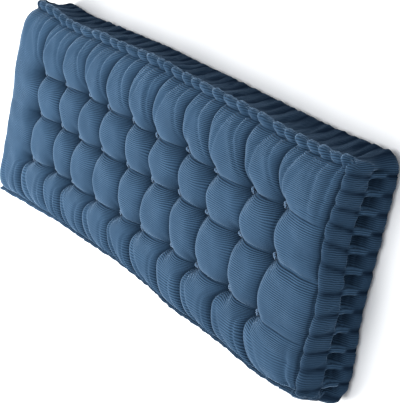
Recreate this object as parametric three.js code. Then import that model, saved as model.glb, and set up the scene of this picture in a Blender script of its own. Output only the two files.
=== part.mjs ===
// A long box cushion for a bench, in corduroy, lying on its back. Millimetres, +Z up, the origin
// under the middle of it. It is one filled solid, made as a mattress is: thirty tufts pull the face
// down into four rows of puffs, a rolled edge is stitched round the face, and a row of side stitches
// draws pockets into the border. A short tie of thread lies in each tuft.
import * as THREE from "three";

// Driving dimensions
const LENGTH = 1216;
const WIDTH = 463;
const THICKNESS = 125;
const CORNER_RADIUS = 36;
const TUFT_DEPTH = 38;
const ROW_CREASE_DEPTH = 18;
const GAP = 0.3;

// The tufts by column, from the left: where each column's crease meets the bottom and the top edge
// along the length, and where its three tufts lie
const TUFTS = [
  { bottom: -404, lower: [-447, -120], middle: [-447, -12], upper: [-457, 78], top: -434 },
  { bottom: -280, lower: [-337, -109], middle: [-344, -10], upper: [-356, 79], top: -333 },
  { bottom: -204, lower: [-257, -111], middle: [-260, -11], upper: [-250, 85], top: -248 },
  { bottom: -104, lower: [-150, -110], middle: [-161, -7], upper: [-169, 83], top: -140 },
  { bottom: 14, lower: [-48, -105], middle: [-57, -5], upper: [-67, 86], top: -58 },
  { bottom: 101, lower: [37, -105], middle: [40, -3], upper: [25, 82], top: 35 },
  { bottom: 202, lower: [149, -100], middle: [138, 4], upper: [136, 88], top: 137 },
  { bottom: 288, lower: [239, -105], middle: [235, -1], upper: [236, 80], top: 217 },
  { bottom: 382, lower: [349, -103], middle: [344, -2], upper: [352, 83], top: 325 },
  { bottom: 502, lower: [437, -112], middle: [448, -2], upper: [445, 90], top: 436 },
];

// The creases along the length: the share of each one's depth that is left at the two ends
const ROWS = [
  { row: "lower", atLeft: 0, atRight: 0.45 },
  { row: "middle", atLeft: 0.05, atRight: 0.8 },
  { row: "upper", atLeft: 0.05, atRight: 0.55 },
];

// How deep the creases across the cushion are, by row of puffs counted from the bottom edge
const CREASE_DEPTHS = [
  { at: 0, depth: 18 },
  { at: 0.5, depth: 21 },
  { at: 1.5, depth: 19 },
  { at: 2.5, depth: 19 },
  { at: 3.5, depth: 22 },
  { at: 4, depth: 18 },
];

// How far each side is drawn in from the box, at places along it: at the front's rolled edge, and
// at the back; and how much lower the rolled edge lies there
const SIDES = {
  right: [
    { at: -200, front: 2, back: 0, drop: 0 },
    { at: -150, front: 8, back: 0, drop: 0 },
    { at: -110, front: 9, back: 4, drop: 0 },
    { at: -58, front: 3, back: 12, drop: 0 },
    { at: -16, front: 8, back: 13, drop: 0 },
    { at: 45, front: 22, back: 13, drop: 0 },
    { at: 85, front: 27, back: 13, drop: 0 },
    { at: 172, front: 15, back: 13, drop: 0 },
    { at: 231, front: 10, back: 14, drop: 0 },
  ],
  left: [
    { at: -231, front: 4, back: 6, drop: 14 },
    { at: -160, front: 12, back: 10, drop: 14 },
    { at: -70, front: 16, back: 10, drop: 14 },
    { at: 10, front: 8, back: 8, drop: 14 },
    { at: 85, front: 4, back: 6, drop: 14 },
    { at: 160, front: 6, back: 8, drop: 18 },
    { at: 190, front: 20, back: 14, drop: 24 },
    { at: 231, front: 30, back: 18, drop: 24 },
  ],
  top: [
    { at: -608, front: 2, back: 4, drop: 18 },
    { at: -570, front: 2, back: 4, drop: 8 },
    { at: -455, front: 4, back: 10, drop: 0 },
    { at: -420, front: 12, back: 10, drop: 0 },
    { at: -319, front: 13, back: 6, drop: 0 },
    { at: -269, front: 5, back: 6, drop: 0 },
    { at: -113, front: 4, back: 6, drop: 0 },
    { at: -30, front: 0, back: 6, drop: 0 },
    { at: 80, front: 6, back: 6, drop: 0 },
    { at: 320, front: 10, back: 6, drop: 0 },
    { at: 417, front: 15, back: 6, drop: 0 },
    { at: 530, front: 14, back: 4, drop: 0 },
    { at: 608, front: 8, back: 2, drop: 0 },
  ],
  bottom: [
    { at: -608, front: -2, back: 3, drop: 6 },
    { at: -466, front: 0, back: 3, drop: 6 },
    { at: -410, front: 3, back: 4, drop: 4 },
    { at: -284, front: 14, back: 8, drop: 4 },
    { at: -177, front: 17, back: 10, drop: 4 },
    { at: -20, front: 24, back: 10, drop: 4 },
    { at: 115, front: 21, back: 10, drop: 4 },
    { at: 185, front: 15, back: 10, drop: 4 },
    { at: 297, front: 20, back: 10, drop: 4 },
    { at: 504, front: 24, back: 10, drop: 4 },
    { at: 608, front: 18, back: 10, drop: 2 },
  ],
};

// The border's section from the face's stitches down to the back: how far in from the side, and how
// high, it lies on a lobe's crest and at a stitch
const END_SECTION = [
  { part: "stitch line", crestIn: 24, crestUp: 99, stitchIn: 25, stitchUp: 93 },
  { part: "inside of the roll", crestIn: 18, crestUp: 107, stitchIn: 21, stitchUp: 98 },
  { part: "top of the roll", crestIn: 10, crestUp: 109, stitchIn: 15, stitchUp: 101 },
  { part: "shoulder", crestIn: 2, crestUp: 100, stitchIn: 8, stitchUp: 96 },
  { part: "front side", crestIn: 0, crestUp: 78, stitchIn: 6, stitchUp: 78 },
  { part: "pocket's lip", crestIn: 6, crestUp: 60, stitchIn: 18, stitchUp: 62 },
  { part: "pocket", crestIn: 12, crestUp: 45, stitchIn: 30, stitchUp: 46 },
  { part: "pocket's foot", crestIn: 6, crestUp: 31, stitchIn: 19, stitchUp: 30 },
  { part: "back roll", crestIn: 0, crestUp: 16, stitchIn: 5, stitchUp: 17 },
  { part: "back edge", crestIn: 11, crestUp: 0, stitchIn: 13, stitchUp: 0 },
];
const LONG_SECTION = [
  { part: "stitch line", crestIn: 20.5, crestUp: 97.5, stitchIn: 21.5, stitchUp: 89 },
  { part: "inside of the roll", crestIn: 15.5, crestUp: 105.5, stitchIn: 19, stitchUp: 93.5 },
  { part: "top of the roll", crestIn: 10, crestUp: 107.5, stitchIn: 15.5, stitchUp: 95.5 },
  { part: "shoulder", crestIn: 3.5, crestUp: 101, stitchIn: 11, stitchUp: 92 },
  { part: "under the roll", crestIn: 6, crestUp: 87, stitchIn: 12.5, stitchUp: 83 },
  { part: "border's top", crestIn: 8, crestUp: 72, stitchIn: 12.5, stitchUp: 72 },
  { part: "border's middle", crestIn: 7, crestUp: 53, stitchIn: 11.5, stitchUp: 53 },
  { part: "border's foot", crestIn: 4, crestUp: 33, stitchIn: 7, stitchUp: 33 },
  { part: "back roll", crestIn: 0.5, crestUp: 16, stitchIn: 2.5, stitchUp: 16 },
  { part: "back edge", crestIn: 10, crestUp: 0, stitchIn: 11, stitchUp: 0 },
];
const LOBE_SHARPNESS = 0.75;

// How sharply the one section gives way to the other round a corner
const END_BLEND = 0.2;

// The stitches: how many from each column's crease to the next one's, and how many round the rest
const PUFF_STITCHES = { top: [3, 2, 3, 2, 3, 3, 2, 3, 3], bottom: [3, 2, 3, 3, 3, 3, 2, 3, 3] };
const CORNER_STITCHES = { topRight: 6, topLeft: 5, bottomLeft: 5, bottomRight: 4 };
const END_STITCHES = 11;
const END_POCKETS = [-182, 195];
const STEPS_PER_STITCH = 3;

// How far round the rolled edge's stitches lie from the pockets under them, at places across
const SLANTS = [
  { at: -182, by: -0.15 },
  { at: -90, by: -0.3 },
  { at: -20, by: -0.2 },
  { at: 20, by: 0.45 },
  { at: 65, by: 0.6 },
  { at: 140, by: 0.3 },
  { at: 195, by: 0.2 },
];

// The face: where its net ends inside the stitches, and how it rises from them and from its creases
const FACE_INSET = 30;
const EDGE_DROP = 23;
const EDGE_REACHES = { left: 78, right: 40, bottom: 30, top: 38 };
const WALL_REACH = 27;
const TUFT_PAD = 14;
const TUFT_REACH = 36;
const DOME = 4;
const CROWN_DRIFT = 1.5;
const CROWN_TURNS = [2.3, 1.7];
const END_FADE = 50;
const PLEAT_DEPTH = 10;
const FACE_STEPS = [0, 0.06, 0.19, 1 / 3, 0.5, 2 / 3, 0.81, 0.94];
const ROW_STEPS = [0, 0.08, 0.25, 0.5, 0.75, 0.92];

// The sides' draw reaches this far in from the stitches, and rises from the back to the front
const LEAN_REACH = 100;
const LEAN_CURVE = 1.5;
const LEAN_STITCHES = 23;
const LEAN_FROM = 15;
const LEAN_RISE = 75;
const DROP_REACH = 40;
const DROP_BLEND = 22;
const DROP_FROM = 30;
const DROP_RISE = 60;

// At the left end and the bottom edge the puffs stand out over the rolled edge, which is narrower
// there by these shares of its width
const TUCKS = {
  left: { narrowed: 0.55, from: 25, to: 110 },
  bottom: { narrowed: 0.45, from: 25, to: 90 },
};

// The back: shallow pulls of the same tufts, and flat between them
const BACK_INSET = 26;
const BACK_TUFT = 9;
const BACK_CREASE = 3.5;
const BACK_STEPS = [0, 0.14, 0.5, 0.86];

// The ties
const TIE_RADIUS = 1.8;
const TIE_LENGTH = 6;
const TIE_SIDES = 6;
const TIE_CAP_STEPS = 2;

const clamp01 = (t) => Math.min(1, Math.max(0, t));
const mix = (a, b, t) => a + (b - a) * t;
const mixPoints = (a, b, t) => a.map((c, axis) => mix(c, b[axis], t));
const smooth = (t) => clamp01(t) ** 2 * (3 - 2 * clamp01(t));

// The rise of a round arch, from 0 at its foot to 1 once `reach` away from it
const arch = (away, reach) => Math.sqrt(1 - (1 - clamp01(away / reach)) ** 2);

// A named column of a table, read between the rows' places
function read(rows, name, at) {
  const next = rows.findIndex((row) => row.at > at);
  if (next < 0) return rows.at(-1)[name];
  if (next === 0) return rows[0][name];
  const [before, after] = [rows[next - 1], rows[next]];
  return mix(before[name], after[name], (at - before.at) / (after.at - before.at));
}

// Where the net's lines cross, by column from the left and by row from the bottom
function crossings(inset) {
  const end = LENGTH / 2 - inset;
  const side = WIDTH / 2 - inset;
  const columns = TUFTS.map((tuft) => [
    [tuft.bottom, -side],
    ...ROWS.map(({ row }) => tuft[row]),
    [tuft.top, side],
  ]);
  const left = columns[0].map(([, y]) => [-end, y]);
  const right = columns.at(-1).map(([, y]) => [end, y]);
  return [left, ...columns, right];
}

// A point of the net, and how far it is from the four lines round its cell
function placeIn(corners, u, v) {
  const corner = (right, up) => corners[u.cell + right][v.cell + up];
  const left = mixPoints(corner(0, 0), corner(0, 1), v.share);
  const right = mixPoints(corner(1, 0), corner(1, 1), v.share);
  const low = mixPoints(corner(0, 0), corner(1, 0), u.share);
  const high = mixPoints(corner(0, 1), corner(1, 1), u.share);
  const [x, y] = mixPoints(left, right, u.share);
  const width = Math.hypot(right[0] - left[0], right[1] - left[1]);
  const height = Math.hypot(high[0] - low[0], high[1] - low[1]);
  return {
    x,
    y,
    width,
    height,
    from: {
      left: u.share * width,
      right: (1 - u.share) * width,
      bottom: v.share * height,
      top: (1 - v.share) * height,
    },
  };
}

// Which of a cell's four lines are the face's edges; the others are creases
function edgesOf(u, v) {
  return {
    left: u.cell === 0,
    right: u.cell === TUFTS.length,
    bottom: v.cell === 0,
    top: v.cell === ROWS.length,
  };
}

// Rounds the corners of a rectangle of half sizes a and b: a point in a corner's square goes to the
// same place in a quarter disc
function roundCorner(x, y, a, b, radius) {
  const u = (Math.abs(x) - (a - radius)) / radius;
  const v = (Math.abs(y) - (b - radius)) / radius;
  if (u <= 0 || v <= 0) return [x, y];
  return [
    Math.sign(x) * (a - radius + radius * u * Math.sqrt(1 - (v * v) / 2)),
    Math.sign(y) * (b - radius + radius * v * Math.sqrt(1 - (u * u) / 2)),
  ];
}

// How deep the crease along a row is: full between the tufts, and fading towards the ends
function rowCrease(place, u, v) {
  const nearest = Math.min(ROWS.length - 1, Math.max(0, Math.round(v.cell + v.share) - 1));
  const { atLeft, atRight } = ROWS[nearest];
  const pastLeft = u.cell === 0 ? smooth(place.from.right / END_FADE) : 0;
  const pastRight = u.cell === TUFTS.length ? smooth(place.from.left / END_FADE) : 0;
  return ROW_CREASE_DEPTH * mix(1, atLeft, pastLeft) * mix(1, atRight, pastRight);
}

// How far the folds from the stitches of a long edge sink the puffs along it
function pleats(edges, u, v) {
  const [stitches, away] = edges.top ? [PUFF_STITCHES.top, 1 - v.share] : [PUFF_STITCHES.bottom, v.share];
  const onPuff = (edges.top || edges.bottom) && !edges.left && !edges.right;
  if (!onPuff) return 0;
  const ridge = Math.abs(Math.sin(Math.PI * u.share * stitches[u.cell - 1])) ** LOBE_SHARPNESS;
  return PLEAT_DEPTH * (1 - ridge) * (1 - away);
}

// The height of the face. Each puff rises steeply from its creases to a gentle dome, and a tuft
// pulls each corner of it down.
function faceHeight(place, u, v) {
  const edges = edgesOf(u, v);
  let kept = 1;
  for (const [name, reach] of Object.entries(EDGE_REACHES)) {
    if (edges[name]) kept *= 1 - (EDGE_DROP / TUFT_DEPTH) * (1 - arch(place.from[name], reach));
  }
  const nearest = (...names) => Math.min(...names.map((name) => (edges[name] ? Infinity : place.from[name])));
  const [across, along] = [nearest("left", "right"), nearest("bottom", "top")];
  const crease = read(CREASE_DEPTHS, "depth", v.cell + v.share);
  kept *= 1 - (crease / TUFT_DEPTH) * (1 - arch(across, WALL_REACH));
  kept *= 1 - (rowCrease(place, u, v) / TUFT_DEPTH) * (1 - arch(along, WALL_REACH));
  for (const tuft of TUFTS) {
    for (const { row } of ROWS) {
      const away = Math.hypot(place.x - tuft[row][0], place.y - tuft[row][1]);
      kept *= arch(away - TUFT_PAD, TUFT_REACH);
    }
  }
  const drift = CROWN_DRIFT * (1 + Math.sin(CROWN_TURNS[0] * u.cell + CROWN_TURNS[1] * v.cell));
  const off = [across / place.width, along / place.height].map((share) => 1 - clamp01(2 * share));
  const crown = THICKNESS - drift - (DOME / 2) * (off[0] ** 2 + off[1] ** 2);
  return mix(THICKNESS - TUFT_DEPTH, crown, kept) - pleats(edges, u, v);
}

// The height of the back above the floor: nothing but over the tufts, creases and edge
function backHeight(place, u, v) {
  const onLine = (line) => line.share === 0 || line.share === 1;
  const column = u.cell + u.share;
  const row = v.cell + v.share;
  const inside = column > 0 && column <= TUFTS.length && row > 0 && row <= ROWS.length;
  if (onLine(u) && onLine(v) && inside) return BACK_TUFT;
  return onLine(u) || onLine(v) ? BACK_CREASE : 0;
}

// A surface under construction: points, and triangles that face outwards
class Surface {
  points = [];
  triangles = [];

  point(x, y, z) {
    this.points.push(x, y, z);
    return this.points.length / 3 - 1;
  }

  quad(a, b, c, d) {
    this.triangles.push(a, b, c, a, c, d);
  }

  // Joins two closed loops that run the same way round, each a list of { id, at } where `at` rises
  // from 0 to 1 round the loop. The inner loop is the one nearer the middle of the face.
  zip(inner, outer) {
    let i = 0;
    let j = 0;
    const at = (loop, k) => loop[k % loop.length].at + Math.floor(k / loop.length);
    const id = (loop, k) => loop[k % loop.length].id;
    while (i < inner.length || j < outer.length) {
      const stepInner = j >= outer.length || (i < inner.length && at(inner, i + 1) < at(outer, j + 1));
      if (stepInner) this.triangles.push(id(inner, i), id(outer, j), id(inner, ++i));
      else this.triangles.push(id(inner, i), id(outer, j), id(outer, ++j));
    }
  }

  geometry() {
    const geometry = new THREE.BufferGeometry();
    geometry.setAttribute("position", new THREE.Float32BufferAttribute(this.points, 3));
    geometry.setIndex(this.triangles);
    geometry.computeVertexNormals();
    return geometry;
  }
}

// The lines of a net: each cell between two lines is cut at the same shares of its width
function netLines(cells, steps) {
  const lines = [];
  for (let cell = 0; cell < cells; cell++) for (const share of steps) lines.push({ cell, share });
  lines.push({ cell: cells - 1, share: 1 });
  return lines;
}

// A net of quads over the whole cushion at an inset. Returns its points' ids by line.
function net(surface, inset, columnSteps, rowSteps, heightAt, facesUp) {
  const corners = crossings(inset);
  const across = netLines(TUFTS.length + 1, columnSteps);
  const along = netLines(ROWS.length + 1, rowSteps);
  const ids = across.map((u) =>
    along.map((v) => {
      const place = placeIn(corners, u, v);
      const half = [LENGTH / 2 - inset, WIDTH / 2 - inset];
      const [x, y] = roundCorner(place.x, place.y, ...half, CORNER_RADIUS - inset);
      return surface.point(x, y, heightAt(place, u, v));
    }),
  );
  for (let i = 0; i + 1 < ids.length; i++) {
    for (let j = 0; j + 1 < ids[i].length; j++) {
      const around = [ids[i][j], ids[i + 1][j], ids[i + 1][j + 1], ids[i][j + 1]];
      surface.quad(...(facesUp ? around : around.reverse()));
    }
  }
  return ids;
}

// The rounded rectangle that the sides follow, leg by leg from the middle of the right-hand end
const END = WIDTH - 2 * CORNER_RADIUS;
const SIDE = LENGTH - 2 * CORNER_RADIUS;
const TURN = (Math.PI / 2) * CORNER_RADIUS;
const [BEND_X, BEND_Y] = [SIDE / 2, END / 2];
const LEGS = [
  { length: END / 2, from: [LENGTH / 2, 0], heading: 90 },
  { length: TURN, centre: [BEND_X, BEND_Y], angle: 0 },
  { length: SIDE, from: [BEND_X, WIDTH / 2], heading: 180 },
  { length: TURN, centre: [-BEND_X, BEND_Y], angle: 90 },
  { length: END, from: [-LENGTH / 2, BEND_Y], heading: 270 },
  { length: TURN, centre: [-BEND_X, -BEND_Y], angle: 180 },
  { length: SIDE, from: [-BEND_X, -WIDTH / 2], heading: 360 },
  { length: TURN, centre: [BEND_X, -BEND_Y], angle: 270 },
  { length: END / 2, from: [LENGTH / 2, -BEND_Y], heading: 90 },
];
const ROUND = LEGS.reduce((sum, leg) => sum + leg.length, 0);
const startOf = (leg) => LEGS.slice(0, leg).reduce((sum, { length }) => sum + length, 0);

// A point of that rectangle, and the way out of it, `s` along it
function outline(s) {
  let left = (s + ROUND) % ROUND;
  let leg = LEGS[0];
  for (leg of LEGS) {
    if (left <= leg.length) break;
    left -= leg.length;
  }
  if (leg.centre) {
    const angle = THREE.MathUtils.degToRad(leg.angle) + left / CORNER_RADIUS;
    const way = [Math.cos(angle), Math.sin(angle)];
    return { point: way.map((c, axis) => leg.centre[axis] + CORNER_RADIUS * c), way };
  }
  const heading = THREE.MathUtils.degToRad(leg.heading);
  const along = [Math.cos(heading), Math.sin(heading)];
  return { point: leg.from.map((c, axis) => c + left * along[axis]), way: [along[1], -along[0]] };
}

// How far along the sides their place nearest to a point of the border or of a net's rim lies
function alongSides(x, y) {
  if (Math.abs(x) > BEND_X && Math.abs(y) > BEND_Y) {
    const corner = LEGS.findIndex(({ centre }) => centre && centre[0] * x > 0 && centre[1] * y > 0);
    const { centre, angle } = LEGS[corner];
    const heading = Math.atan2(y - centre[1], x - centre[0]) - THREE.MathUtils.degToRad(angle);
    return startOf(corner) + CORNER_RADIUS * THREE.MathUtils.euclideanModulo(heading, 2 * Math.PI);
  }
  if (Math.abs(y) > BEND_Y) return y > 0 ? startOf(2) + BEND_X - x : startOf(6) + BEND_X + x;
  return x > 0 ? (y + ROUND) % ROUND : startOf(4) + BEND_Y - y;
}

// Gives each point of a loop its share of the way round the sides, and starts the loop at the least
function measured(surface, ids) {
  const loop = ids.map((id) => ({ id, at: alongSides(...surface.points.slice(3 * id, 3 * id + 2)) / ROUND }));
  const start = loop.findIndex(({ at }, k) => at < loop.at(k - 1).at);
  return [...loop.slice(start), ...loop.slice(0, start)];
}

// The rim of a net as a loop, anticlockwise
function rimOf(surface, ids) {
  const last = ids.length - 1;
  const top = ids[0].length - 1;
  const rim = [
    ...ids[last].slice(0, top),
    ...ids.map((column) => column[top]).reverse().slice(0, last),
    ...[...ids[0]].reverse().slice(0, top),
    ...ids.map((column) => column[0]).slice(0, last),
  ];
  return measured(surface, rim);
}

// The stitches that are tied to a crease or a pocket: how far along the sides each lies, and its
// number, with the first one again at the end
function knots() {
  const [topStart, leftStart, bottomStart] = [startOf(2), startOf(4), startOf(6)];
  const [first, last] = END_POCKETS;
  const groups = [
    { at: [first, last], steps: [END_STITCHES], corner: "topRight" },
    {
      at: TUFTS.map((tuft) => topStart + BEND_X - tuft.top).reverse(),
      steps: [...PUFF_STITCHES.top].reverse(),
      corner: "topLeft",
    },
    {
      at: [last, first].map((y) => leftStart + BEND_Y - y),
      steps: [END_STITCHES],
      corner: "bottomLeft",
    },
    {
      at: TUFTS.map((tuft) => bottomStart + BEND_X + tuft.bottom),
      steps: PUFF_STITCHES.bottom,
      corner: "bottomRight",
    },
  ];
  const list = [];
  let number = 0;
  for (const { at, steps, corner } of groups) {
    at.forEach((s, k) => {
      if (k > 0) number += steps[k - 1];
      list.push({ at: number, s });
    });
    number += CORNER_STITCHES[corner];
  }
  list.push({ at: number, s: first + ROUND });
  return list;
}

const KNOTS = knots();
const STITCHES = KNOTS.at(-1).at;

// How far along the sides a numbered place among the stitches lies
const sideAt = (number) => read(KNOTS, "s", (number + STITCHES) % STITCHES);

// One closed loop of the border at a row of its sections, lobed between its stitches. On the ends
// the upper rows' stitches lie slantwise from the pockets.
function borderLoop(surface, row) {
  const pocket = END_SECTION.findIndex(({ part }) => part === "pocket");
  const above = 1 - smooth(row / pocket);
  const steps = STITCHES * STEPS_PER_STITCH;
  return Array.from({ length: steps }, (_, k) => {
    const number = k / STEPS_PER_STITCH;
    const upright = outline(sideAt(number));
    const onEnd = smooth(mix(-END_BLEND, 1 + END_BLEND, upright.way[0] ** 2));
    const slant = read(SLANTS, "by", upright.point[1]) * onEnd * above * Math.sign(upright.way[0]);
    const { point, way } = outline(sideAt(number + slant));
    const crest = Math.abs(Math.sin(Math.PI * number)) ** LOBE_SHARPNESS;
    const value = (name) => mix(LONG_SECTION[row][name], END_SECTION[row][name], onEnd);
    const inset = mix(value("stitchIn"), value("crestIn"), crest);
    const [x, y] = point.map((c, axis) => c - way[axis] * inset);
    return surface.point(x, y, mix(value("stitchUp"), value("crestUp"), crest));
  });
}

// Draws the sides in, and lowers the rolled edge, by the amounts in SIDES and TUCKS
function lean([x, y, z]) {
  const away = { right: LENGTH / 2 - x, left: LENGTH / 2 + x, top: WIDTH / 2 - y, bottom: WIDTH / 2 + y };
  const front = smooth((z - LEAN_FROM) / LEAN_RISE);
  const moved = [x, y, z];
  for (const [name, { narrowed, from, to }] of Object.entries(TUCKS)) {
    const near = smooth((to - away[name]) / (to - from)) * front;
    moved[name === "left" ? 0 : 1] -= away[name] * narrowed * near;
  }
  let drop = 0;
  for (const [name, axis, sign] of [["right", 0, -1], ["left", 0, 1], ["top", 1, -1], ["bottom", 1, 1]]) {
    const at = axis === 0 ? y : x;
    const out = clamp01(1 - (away[name] - LEAN_STITCHES) / LEAN_REACH);
    const inward = mix(read(SIDES[name], "back", at), read(SIDES[name], "front", at), front);
    moved[axis] += sign * inward * out ** LEAN_CURVE;
    drop = Math.max(drop, read(SIDES[name], "drop", at) * smooth((DROP_REACH - away[name]) / DROP_BLEND));
  }
  moved[2] -= drop * smooth((z - DROP_FROM) / DROP_RISE);
  return moved;
}

function cushionGeometry() {
  const surface = new Surface();
  const face = net(surface, FACE_INSET, FACE_STEPS, ROW_STEPS, faceHeight, true);
  const back = net(surface, BACK_INSET, BACK_STEPS, BACK_STEPS, backHeight, false);
  const loops = END_SECTION.map((_, row) => borderLoop(surface, row));
  for (let row = 0; row + 1 < loops.length; row++) {
    loops[row].forEach((id, k) => {
      const next = (k + 1) % loops[row].length;
      surface.quad(id, loops[row + 1][k], loops[row + 1][next], loops[row][next]);
    });
  }
  surface.zip(rimOf(surface, face), measured(surface, loops[0]));
  surface.zip(measured(surface, loops.at(-1)), rimOf(surface, back));
  for (let k = 0; k < surface.points.length; k += 3) {
    surface.points.splice(k, 3, ...lean(surface.points.slice(k, k + 3)));
  }
  return surface.geometry();
}

const corduroy = new THREE.MeshStandardMaterial({ color: 0x3f6487, roughness: 0.95, metalness: 0 });
const thread = new THREE.MeshStandardMaterial({ color: 0x5f83a8, roughness: 0.9, metalness: 0 });

function piece(name, geometry, material) {
  const mesh = new THREE.Mesh(geometry, material);
  mesh.name = name;
  return mesh;
}

const body = cushionGeometry();
body.computeBoundingBox();
const middle = body.boundingBox.getCenter(new THREE.Vector3());
body.translate(-middle.x, -middle.y, 0);

const cushion = new THREE.Group();
cushion.add(piece("cushion", body, corduroy));

TUFTS.forEach((tuft, column) => {
  for (const { row } of ROWS) {
    const shape = new THREE.CapsuleGeometry(TIE_RADIUS, TIE_LENGTH, TIE_CAP_STEPS, TIE_SIDES);
    const tie = piece(`tuft_tie_${row}_${column + 1}`, shape, thread);
    const [x, y, z] = lean([...tuft[row], THICKNESS - TUFT_DEPTH]);
    tie.position.set(x - middle.x, y - middle.y, z + GAP + TIE_RADIUS);
    cushion.add(tie);
  }
});

export default cushion;
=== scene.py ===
from math import pi

import bpy
import numpy as np
from mathutils import Matrix, Vector


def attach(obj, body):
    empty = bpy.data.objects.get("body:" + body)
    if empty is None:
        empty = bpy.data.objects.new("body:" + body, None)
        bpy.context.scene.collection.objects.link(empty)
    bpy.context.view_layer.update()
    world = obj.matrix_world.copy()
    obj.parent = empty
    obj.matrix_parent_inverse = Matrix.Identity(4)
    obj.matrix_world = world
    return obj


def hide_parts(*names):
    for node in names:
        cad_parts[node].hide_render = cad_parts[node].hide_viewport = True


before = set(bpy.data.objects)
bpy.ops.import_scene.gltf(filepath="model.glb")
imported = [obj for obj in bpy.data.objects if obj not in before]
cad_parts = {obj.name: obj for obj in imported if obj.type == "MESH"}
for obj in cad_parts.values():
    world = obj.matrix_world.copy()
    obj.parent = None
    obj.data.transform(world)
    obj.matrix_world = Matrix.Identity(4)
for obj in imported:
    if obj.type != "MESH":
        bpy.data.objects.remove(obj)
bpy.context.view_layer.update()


def table(columns, *rows):
    """Rows of values under the columns' names."""
    return [dict(zip(columns.split(), row)) for row in rows]


# Lengths are in metres. X runs along the cushion, Y across it and Z out of its face.
LENGTH = 1.216
WIDTH = 0.463
THICKNESS = 0.125
CORNER_RADIUS = 0.036
TUFT_DEPTH = 0.038
STITCH_INSET = 0.023
HALF = np.array([LENGTH / 2, WIDTH / 2])
# Where the middle of the finished cushion comes to lie, once its sides are drawn in
MIDDLE = np.array([0.0020, -0.0007])

# The tufts by column, from the left: where each column's crease meets the bottom and the top edge,
# and where its three tufts lie
TUFTS = table(
    "bottom lower middle upper top",
    (-0.404, (-0.447, -0.120), (-0.447, -0.012), (-0.457, 0.078), -0.434),
    (-0.280, (-0.337, -0.109), (-0.344, -0.010), (-0.356, 0.079), -0.333),
    (-0.204, (-0.257, -0.111), (-0.260, -0.011), (-0.250, 0.085), -0.248),
    (-0.104, (-0.150, -0.110), (-0.161, -0.007), (-0.169, 0.083), -0.140),
    (0.014, (-0.048, -0.105), (-0.057, -0.005), (-0.067, 0.086), -0.058),
    (0.101, (0.037, -0.105), (0.040, -0.003), (0.025, 0.082), 0.035),
    (0.202, (0.149, -0.100), (0.138, 0.004), (0.136, 0.088), 0.137),
    (0.288, (0.239, -0.105), (0.235, -0.001), (0.236, 0.080), 0.217),
    (0.382, (0.349, -0.103), (0.344, -0.002), (0.352, 0.083), 0.325),
    (0.502, (0.437, -0.112), (0.448, -0.002), (0.445, 0.090), 0.436),
)
TUFT_ROWS = ["lower", "middle", "upper"]

# The creases along the length: the share of each one's depth that is left at the two ends
ROWS = table(
    "row at_left at_right",
    ("lower", 0.0, 0.45),
    ("middle", 0.05, 0.8),
    ("upper", 0.05, 0.55),
)
ROW_CREASE_DEPTH = 0.018

# How deep the creases across the cushion are, by row of puffs counted from the bottom edge
CREASE_DEPTHS = table(
    "at depth",
    (0.0, 0.018),
    (0.5, 0.021),
    (1.5, 0.019),
    (2.5, 0.019),
    (3.5, 0.022),
    (4.0, 0.018),
)

# How far each side is drawn in from the box, at places along it: at the front's rolled edge, and
# at the back; and how much lower the rolled edge lies there
SIDES = dict(
    right=table(
        "at front back drop",
        (-0.231, 0.003, 0.001, 0.000),
        (-0.200, 0.003, -0.001, 0.000),
        (-0.150, 0.008, -0.002, 0.000),
        (-0.110, 0.009, 0.003, 0.000),
        (-0.058, 0.003, 0.010, 0.000),
        (-0.016, 0.008, 0.010, 0.000),
        (0.045, 0.022, 0.010, 0.000),
        (0.085, 0.027, 0.010, 0.000),
        (0.172, 0.015, 0.010, 0.000),
        (0.231, 0.010, 0.011, 0.000),
    ),
    left=table(
        "at front back drop",
        (-0.231, 0.014, 0.024, 0.014),
        (-0.200, 0.020, 0.018, 0.014),
        (-0.160, 0.024, 0.018, 0.014),
        (-0.070, 0.026, 0.017, 0.014),
        (0.010, 0.016, 0.014, 0.014),
        (0.085, 0.008, 0.010, 0.014),
        (0.160, 0.012, 0.012, 0.018),
        (0.190, 0.030, 0.022, 0.024),
        (0.231, 0.046, 0.030, 0.024),
    ),
    top=table(
        "at front back drop",
        (-0.608, 0.002, 0.006, 0.018),
        (-0.570, 0.002, 0.005, 0.008),
        (-0.455, 0.004, 0.011, 0.000),
        (-0.420, 0.012, 0.011, 0.000),
        (-0.319, 0.013, 0.007, 0.000),
        (-0.269, 0.005, 0.005, 0.000),
        (-0.199, 0.007, 0.004, 0.000),
        (-0.113, 0.004, 0.002, 0.000),
        (-0.030, 0.000, 0.003, 0.000),
        (0.080, 0.006, 0.004, 0.000),
        (0.220, 0.007, 0.005, 0.000),
        (0.320, 0.010, 0.007, 0.000),
        (0.417, 0.015, 0.008, 0.000),
        (0.530, 0.014, 0.004, 0.000),
        (0.608, 0.008, 0.002, 0.000),
    ),
    bottom=table(
        "at front back drop",
        (-0.608, -0.015, 0.006, 0.006),
        (-0.530, -0.010, 0.006, 0.006),
        (-0.466, -0.002, 0.006, 0.006),
        (-0.410, 0.002, 0.006, 0.004),
        (-0.284, 0.014, 0.008, 0.004),
        (-0.177, 0.017, 0.010, 0.004),
        (-0.020, 0.025, 0.010, 0.004),
        (0.115, 0.023, 0.010, 0.004),
        (0.185, 0.015, 0.010, 0.004),
        (0.297, 0.020, 0.010, 0.004),
        (0.395, 0.020, 0.010, 0.004),
        (0.455, 0.016, 0.012, 0.004),
        (0.505, 0.019, 0.014, 0.004),
        (0.540, 0.021, 0.017, 0.004),
        (0.570, 0.027, 0.018, 0.004),
        (0.608, 0.023, 0.014, 0.002),
    ),
)

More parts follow.
